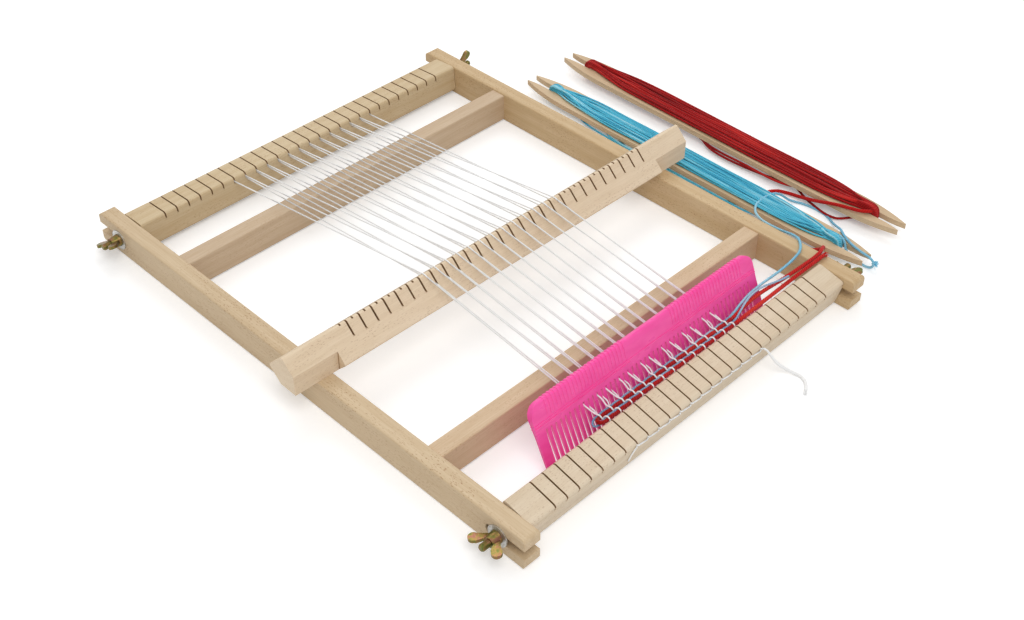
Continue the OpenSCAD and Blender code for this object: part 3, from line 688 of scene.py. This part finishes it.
def make_warp():
    raised = [raised_runs(k) for k in range(FIRST_KERF, LAST_KERF + 1)]
    lowered = [lowered_runs(k) for k in range(FIRST_KERF, LAST_KERF + 1)]
    both = raised + lowered
    pieces = []

    front = [mm_path(runs["front loop"], 1.5) for runs in both]
    front += [all_at(loops_between(on_front, kerf_x(k), kerf_x(k + 1), OUTER_HIGH, OUTER_LOW))
              for k in range(FIRST_KERF, LAST_KERF)]
    # The cord's other end hangs on the beam's face beside the first kerf
    end_route = ((5.2, 0.7, -2.5), (4.6, 0.7, 1), (3.3, 0.6, 4.8), (LOOP_ASIDE, LOOP_OFF, OUTER_LOW))
    end_places = [on_front(kerf_x(FIRST_KERF) - aside, HALF_DEPTH + out, height)
                  for aside, out, height in end_route]
    front.append(mm_path(end_places, 1.2))
    front_loops = strand_object("warp_front_loops", front, WARP_RADIUS, cotton, 6)
    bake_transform(front_loops)

    weave = [mm_path(runs["cloth"], 1.5) for runs in both]
    cloth = strand_object("warp_in_cloth", weave, WARP_RADIUS, cotton)
    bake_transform(cloth)

    for name, group, move, back_move in (("raised", raised, RAISED_MOVE, RAISED_BACK_MOVE),
                                         ("lowered", lowered, LOWERED_MOVE, LOWERED_BACK_MOVE)):
        spans = [all_at(runs["front span"]) for runs in group]
        span = strand_object(f"warp_{name}_front", spans, WARP_RADIUS, cotton)
        follow_bar(span)
        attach(span, "frame")
        bar = strand_object(f"warp_{name}_bar", [bar_path(runs) for runs in group], HIDDEN_RADIUS, cotton)
        travel_with_bar(bar)
        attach(bar, "frame")
        rears = [all_at(runs["back span"]) for runs in group]
        rear = strand_object(f"warp_{name}_back", rears, WARP_RADIUS, cotton)
        follow_bar(rear)
        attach(rear, "frame")
        pieces += [span, bar, rear]

    run = strand_object("warp_back_run", [all_at(runs["back run"]) for runs in both], WARP_RADIUS, cotton)
    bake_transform(run)
    back = [mm_path(runs["back loop"], 1.5) for runs in both]
    back += [all_at(loops_between(on_back, kerf_x(k - 1), kerf_x(k), OUTER_HIGH, OUTER_LOW))
             for k in range(FIRST_KERF, LAST_KERF + 1)]
    back_loops = strand_object("warp_back_loops", back, WARP_RADIUS, cotton, 6)
    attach(back_loops, "back_beam")
    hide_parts("warp")


# Weft: two picks of each yarn

# The y and z of each pick
FAR_BLUE, FAR_RED = (37.6, 24.4), (35.5, 24.5)
NEAR_BLUE, NEAR_RED = (33, 24.6), (31.1, 24.6)
RED_WEFT = [(64, *FAR_RED), (60, *FAR_RED), (-57, *FAR_RED), (-60, *FAR_RED), (-64.4, 35.4, 24.6),
            (-66.6, 34.4, 24.9), (-67.2, 33.2, 25), (-66.6, 32, 24.9), (-64.8, 31.3, 24.7), (-62, *NEAR_RED),
            (-59, *NEAR_RED), (59, *NEAR_RED), (62, *NEAR_RED)]
BLUE_WEFT = [(64, *FAR_BLUE), (60, *FAR_BLUE), (-59, *FAR_BLUE), (-62, *FAR_BLUE), (-66.6, 37.1, 23.8),
             (-69, 35.8, 22.9), (-69.6, 34.4, 22.5), (-68.6, 33.1, 22.4), (-66, 32.7, 22.9),
             (-63, 32.8, 23.8), (-60, *NEAR_BLUE), (-57, *NEAR_BLUE), (59, *NEAR_BLUE), (62, *NEAR_BLUE)]
BLUE_YARN = [
    (64, *FAR_BLUE), (68, 38, 24.7), (76, 39.6, 25.4), (88, 41.4, 26.4), (102, 42, 27),
    (121, 41.5, 27.3), (141, 43, 27), (151, 45.6, 26), (157, 49, 25.3), (163, 55, 25.1),
    (166.5, 62, 22.8), (169, 71, 19.6), (172, 84, 16), (176, 96, 13.4), (182, 105, 11.8),
    (188, 109.4, 11.4), (197, 111.5, 11.3), (205, 111, 11.3), (211.5, 109, 11), (217, 106.6, 7.6),
    (222, 103.4, 2.8), (226.4, 97.6, 0.8), (228.4, 90, 0.7), (228.8, 82, 0.7), (227.6, 73, 0.8),
    (222.4, 64, 2), (216.4, 56.6, 5.8), (210.6, 50.4, 9.8), (204.8, 42.8, 10.7), (201.2, 35.4, 10.7),
    (199.5, 28.6, 10.4), (198.9, 22, 9.8), (198.8, 17.6, 9.2), (198.6, 14.8, 8), (198.5, 13.6, 5.2),
    (198.4, 14.8, 2.4), (198.3, 17.6, 1.2), (198.2, 23, 1.2), (198.3, 29, 1.7), (198.6, 33.6, 3),
    (199, 37, 5.6), (199.5, 38.8, 9), (199.9, 41, 12), (200.1, 44.6, 13.5)]
RED_YARN = [
    (64, *FAR_RED), (70, 36, 24.8), (80, 37.2, 25.2), (92, 37.8, 25.6), (104, 37, 26),
    (118, 35.6, 26.3), (132, 34.6, 26.6), (144, 34.2, 26.6), (152, 34.2, 26.4), (160, 35, 26.1),
    (165, 36.8, 25.2), (170, 39.4, 22), (176, 42.2, 17.6), (181, 45, 12.6), (183.6, 48.6, 8),
    (184, 53.4, 4.6), (182.6, 60, 2.2), (180.6, 70, 1.4), (180.6, 82, 1.4), (183, 93, 1.4),
    (188, 102, 1.4), (196, 110, 1.4), (205, 117, 1.4), (213.6, 121.4, 1.4), (220.6, 121.2, 1.4),
    (226.4, 117, 1.5), (229.4, 109, 2), (229.8, 100, 3.4), (229.6, 91, 5.6), (229.4, 82, 8.4),
    (229.6, 74, 11), (230.8, 66, 12.6), (232.6, 58, 13.2), (235, 51.2, 13.3), (238.2, 46.8, 13.4),
    (241.6, 44.4, 13), (244.4, 43.6, 11.6), (245.6, 44, 9.6)]
BLUE_TAIL = [
    (62, *NEAR_BLUE), (66, 33.5, 25), (71, 34.8, 26.2), (78, 36.8, 27.6), (86, 38.6, 28.4),
    (94, 39.2, 28.4), (102, 38.4, 28.4), (108, 36.4, 28.6), (114, 34.4, 28.8), (121, 33, 29)]
RED_TAIL = [
    (62, *NEAR_RED), (68, 31.2, 24.7), (78, 31.4, 24.8), (90, 31.5, 24.9), (104, 31.6, 25.1),
    (118, 31.7, 25.3), (132, 31.6, 25.6), (144, 31.4, 26), (152, 31.3, 26.2), (159, 31.2, 26.4)]
WARP_TAIL = [
    (61.5, 7.2, 18.8), (62.3, 5.4, 18), (62.9, 2.8, 15.8), (63.8, 0, 12.6), (65.6, -3, 9),
    (68.6, -6, 5.6), (71.6, -9, 2.8), (73.6, -12, 1.1), (74, -16, 0.5), (72.4, -20, 0.5),
    (68.8, -23.6, 0.5), (65, -26, 0.5)]
# Between which two places a lifted shuttle starts to carry its yarn, and carries all of it
BLUE_LIFT = (BLUE_YARN[11], BLUE_YARN[-1])
RED_LIFT = ((216, 115, 1), (262.7, 101, 1))
# Radii of the yarns, loose and in the cloth, and of the warp cord's swollen end
LOOSE_BLUE, LOOSE_RED = 0.9 * MM, 1.35 * MM
WEFT_BLUE, WEFT_RED = 0.7 * MM, 1.3 * MM
TAIL_RADIUS = 1.1 * MM


def make_weft():
    for name, route, radius, material, fibre, slot in (
            ("blue_weft", BLUE_WEFT, WEFT_BLUE, pale_blue_yarn, blue_fibre, "blue_yarn"),
            ("red_weft", RED_WEFT, WEFT_RED, red_yarn, red_fibre, "red_yarn")):
        path = mm_path(route, 1.2)
        # The picks ride over one thread of the warp and under the next
        wave = np.sin((path[:, 0] - ZERO.x) / MM * math.tau / KERF_PITCH)
        path[:, 2] += wave * 0.3 * MM
        weft = strand_object(name + "_picks", [path], radius, material, 10)
        fibres = fuzz(name + "_fuzz", path, radius, count=90, length=2.2, material=fibre, seed=3)
        for piece in (weft, fibres):
            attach(piece, "front_clamps")
        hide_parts(name)


def free_cord(name, path, radius, material):
    """A stretch of yarn that is neither woven nor wound.
    radius is one number, or one for each point."""
    cord = strand_object(name, [path], radius, material, 10)
    return cord


def make_free_yarns():
    """Each yarn is two cords that meet over the rail: one by the cloth, one by the shuttle."""
    for name, route, split, radius, material, fibre, shuttle, lift in (
            ("blue", BLUE_YARN, 11, LOOSE_BLUE, loose_blue_yarn, blue_fibre, "blue_shuttle", BLUE_LIFT),
            ("red", RED_YARN, 14, LOOSE_RED, loose_red_yarn, red_fibre, "red_shuttle", RED_LIFT)):
        path = above_table(mm_path(route, 1.5), radius)
        place = np.array(at(*route[split]))
        cut = int(np.argmin(np.linalg.norm(path - place, axis=1)))
        near_path, far_path = path[:cut + 1], path[cut:]
        near_fuzz = fuzz(name + "_yarn_fuzz_by_cloth", near_path, radius, count=70, length=2.4,
                         material=fibre, seed=11)
        far_fuzz = fuzz(name + "_yarn_fuzz_by_shuttle", far_path, radius, count=90, length=2.4,
                        material=fibre, seed=12)
        near = free_cord(name + "_yarn_from_cloth", near_path, radius, material)
        far = free_cord(name + "_yarn_to_shuttle", far_path, radius, material)
        for piece in (near, near_fuzz):
            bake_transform(piece)
        for piece in (far, far_fuzz):
            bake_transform(piece)
        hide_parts(name + "_yarn")


def make_tails():
    """The yarns' starting ends, the warp cord's loose end and the frayed yarn in the blue shuttle's fork."""
    path = mm_path(BLUE_TAIL, 1.5)
    blue_fuzz = fuzz("blue_tail_fuzz", path, WEFT_BLUE, count=30, length=2.2, material=blue_fibre, seed=13)
    blue_tail = free_cord("blue_yarn_tail", path, WEFT_BLUE, pale_blue_yarn)
    for piece in (blue_tail, blue_fuzz):
        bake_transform(piece)
    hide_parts("blue_tail")

    path = mm_path(RED_TAIL, 1.5)
    red_fuzz = fuzz("red_tail_fuzz", path, LOOSE_RED, count=60, length=2.2, material=red_fibre, seed=14)
    red_tuft = tuft("red_tail_tuft", path[-1], path[-1] - path[-3], count=60, length=3.4, width=0.6,
                    material=red_fibre, seed=17)
    red_tail = free_cord("red_yarn_tail", path, LOOSE_RED, loose_red_yarn)
    for piece in (red_tail, red_fuzz, red_tuft):
        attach(piece, "front_clamps")
    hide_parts("red_tail")

    path = above_table(mm_path(WARP_TAIL, 1.0), TAIL_RADIUS)
    # The cord swells where it has untwisted, over its first 14 points
    swelling = TAIL_RADIUS * (0.55 + 0.45 * np.minimum(1, np.arange(len(path)) / 14))
    end_tuft = tuft("warp_tail_tuft", path[-1], path[-1] - path[-3], count=40, length=3.2, width=0.35,
                    material=white_fibre, seed=15)
    warp_tail = free_cord("warp_cord_tail", path, swelling, cotton)
    for piece in (warp_tail, end_tuft):
        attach(piece, "front_clamps")
    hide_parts("warp_tail")

    fork_tuft = tuft("blue_fork_tuft", at(198.8, 14.6, 5.4), (0.7, -0.7, 0.1), count=70, length=4.4,
                     width=0.3, material=blue_fibre, seed=16)
    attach(fork_tuft, "blue_shuttle")


# Windings

# Both shuttles lie turned a little on the table. Their notches end this far from their middle
SHUTTLE_TURN = math.radians(-0.86)
SHUTTLE_THICK = 4.2
NOTCH_Y = 139
# The middle of each shuttle's lower face
BLUE_PLACE = (199.6, 184.8, 5)
RED_PLACE = (245.2, 186.3, 6.7)
# Places along a run from notch to notch, from -1 to 1, and how far the yarn has spread there
RUN_PLACES = ((-0.86, 0.5), (-0.72, 0.85), (-0.5, 1), (-0.25, 1), (0, 1), (0.25, 1), (0.5, 1), (0.72, 0.85),
              (0.86, 0.5))
NOTCH_LAYERS = 4
# A sag reaches its full depth over this share of the run
SAG_RAMP = 0.18


def make_winding(name, place, count, columns, radius, column_step, spread_step, top, sags, material,
                 fibre, seed):
    """The yarn goes from notch to notch over one face and back under the other, in two loose layers.
    Its passes lie in columns in a notch, column_step apart, and spread_step apart between the notches, no
    higher than top over the middle of the stick. sags gives the passes that hang out beside the stick: how
    far from its middle, how far below it, and between which places along it, from -1 to 1. Lengths are in
    millimetres."""
    chance = random.Random(seed)
    half = SHUTTLE_THICK / 2
    low = half + radius + 0.1
    per_layer = (count + 1) // 2

    def notch_place(i):
        column, layer = i % columns, (i // columns) % NOTCH_LAYERS
        return (column - (columns - 1) / 2) * column_step, low + layer * column_step

    def middle_place(i):
        # Steps of seven places leave no pass beside the one before it
        slot = (i % per_layer) * 7 % per_layer
        layer = i // per_layer
        x = (slot - (per_layer - 1) / 2) * spread_step + layer * spread_step / 2
        return x, low + layer * 1.5 * radius

    def run(i, j, face, way):
        x0, z0 = notch_place(i)
        x1, z1 = notch_place(j)
        a, h0 = middle_place(i)
        b, h1 = middle_place(j)
        found = [(x0, -way * NOTCH_Y, face * z0), (x0, -way * (NOTCH_Y - 3), face * z0)]
        for t, pull in RUN_PLACES:
            along = (t + 1) / 2
            near_x, near_z = (x0, z0) if t < 0 else (x1, z1)
            x = (a + (b - a) * along) * pull + near_x * (1 - pull) + chance.uniform(-0.4, 0.4)
            height = (h0 + (h1 - h0) * along) * pull + near_z * (1 - pull) + chance.uniform(0, 0.9)
            z = face * min(top, height)
            if face < 0 and i in sags:
                out, drop, first, last = sags[i]
                hang = min(1, max(0, min(way * t - first, last - way * t) / SAG_RAMP))
                x += (-out - x) * hang
                z += (-half - drop - z) * hang
            found.append((x, way * t * NOTCH_Y + chance.uniform(-5, 5), z))
        return found + [(x1, way * (NOTCH_Y - 3), face * z1), (x1, way * NOTCH_Y, face * z1)]

    def turn(i, face, way):
        """Round the end of a notch, from one face of the stick to the other."""
        x, z = notch_place(i)
        off = z - half
        edge, shoulder = way * (NOTCH_Y + off), way * (NOTCH_Y + off * 0.72)
        height = half + off * 0.7
        return [(x, shoulder, face * height), (x, edge, face * half), (x, edge, -face * half),
                (x, shoulder, -face * height)]

    route = []
    for i in range(count):
        route += run(i, i, 1, -1)
        if i < count - 1:
            route += turn(i, 1, -1) + run(i, i + 1, -1, 1) + turn(i + 1, -1, 1)
    path = smooth([Vector(p) * MM for p in route], 2.4 * MM)
    cos, sin = math.cos(SHUTTLE_TURN), math.sin(SHUTTLE_TURN)
    middle = at(place[0], place[1], place[2] + half)
    path = np.array([(middle.x + cos * x - sin * y, middle.y + sin * x + cos * y, middle.z + z)
                     for x, y, z in path])
    path = above_table(path, radius * MM)
    winding = strand_object(name + "_winding_yarn", [path], radius * MM, material, 8)
    fibres = fuzz(name + "_winding_fuzz", path, radius * MM, count=420, length=3.0, material=fibre, seed=seed)
    for piece in (winding, fibres):
        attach(piece, name + "_shuttle")
    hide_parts(name + "_winding")


def make_windings():
    blue_sags = {3: (13.4, 1.8, -0.6, 0.85), 10: (12.9, 0.6, -0.8, 0.7), 16: (14.2, 3.4, -0.55, 0.6)}
    red_sags = {2: (13, 1.4, -0.66, 0.28), 6: (13.7, 3, -0.62, 0.24), 9: (14.8, 4.8, -1.04, -0.58)}
    make_winding("blue", BLUE_PLACE, count=24, columns=5, radius=0.68, column_step=1.2, spread_step=1.6,
                 top=6.3, sags=blue_sags, material=blue_yarn, fibre=blue_fibre, seed=5)
    make_winding("red", RED_PLACE, count=17, columns=4, radius=0.92, column_step=1.45, spread_step=2.2,
                 top=8.0, sags=red_sags, material=red_yarn, fibre=red_fibre, seed=8)


# Floor, lamps and world

# The floor is a little under the pieces that lie on the table, so that no two faces share a plane
FLOOR_HALF, FLOOR_Z = 6.0, -0.0002
FLOOR_GLOW = 0.26
ROOM_LIGHT, SEEN_LIGHT = 0.62, 1.0
WHITE = (1, 1, 1, 1)


def backdrop_rays(tree):
    """1 for the rays that show the backdrop: from the camera, straight or by way of metal or glass."""
    path = tree.nodes.new("ShaderNodeLightPath").outputs
    mirrored = calc(tree, "MAXIMUM", path["Is Glossy Ray"], path["Is Transmission Ray"])
    return calc(tree, "MAXIMUM", path["Is Camera Ray"], mirrored)


def make_floor():
    mesh = bpy.data.meshes.new("floor")
    corners = [(x * FLOOR_HALF, y * FLOOR_HALF, FLOOR_Z) for x, y in ((-1, -1), (1, -1), (1, 1), (-1, 1))]
    mesh.from_pydata(corners, [], [(0, 1, 2, 3)])
    material, tree = new_material("white floor")
    diffuse = add(tree, "ShaderNodeBsdfDiffuse", {"Color": (0.88, 0.88, 0.88, 1)})
    strength = times(tree, backdrop_rays(tree), FLOOR_GLOW)
    glow = add(tree, "ShaderNodeEmission", {"Color": WHITE, "Strength": strength})
    total = add(tree, "ShaderNodeAddShader", {0: diffuse.outputs[0], 1: glow.outputs[0]})
    output = tree.nodes.new("ShaderNodeOutputMaterial")
    tree.links.new(total.outputs[0], output.inputs["Surface"])
    mesh.materials.append(material)
    floor = bpy.data.objects.new("floor", mesh)
    bpy.context.scene.collection.objects.link(floor)


def make_lamp(name, place, size, power):
    """A round lamp that shines at the middle of the loom."""
    data = bpy.data.lights.new(name, "AREA")
    data.shape = "DISK"
    data.size = size
    data.energy = power
    lamp = bpy.data.objects.new(name, data)
    lamp.location = place
    lamp.rotation_euler = (-Vector(place)).to_track_quat("-Z", "Y").to_euler()
    bpy.context.scene.collection.objects.link(lamp)


def make_world():
    world = bpy.data.worlds.new("white room")
    world.use_nodes = True
    tree = world.node_tree
    tree.nodes.clear()
    room = add(tree, "ShaderNodeBackground", {"Color": WHITE, "Strength": ROOM_LIGHT})
    seen = add(tree, "ShaderNodeBackground", {"Color": WHITE, "Strength": SEEN_LIGHT})
    mix = add(tree, "ShaderNodeMixShader", {0: backdrop_rays(tree), 1: room.outputs[0], 2: seen.outputs[0]})
    output = tree.nodes.new("ShaderNodeOutputWorld")
    tree.links.new(mix.outputs[0], output.inputs["Surface"])
    bpy.context.scene.world = world


def main():
    make_camera()
    make_free_yarns()
    make_tails()
    dress_frame()
    make_warp()
    make_weft()
    make_windings()
    make_floor()
    make_lamp("key lamp", (-0.7, -0.9, 1.7), size=1.1, power=12.8)
    make_lamp("rear lamp", (0.9, 1.0, 1.5), size=1.3, power=10)
    make_world()
    bpy.context.scene.view_settings.view_transform = "Standard"


main()
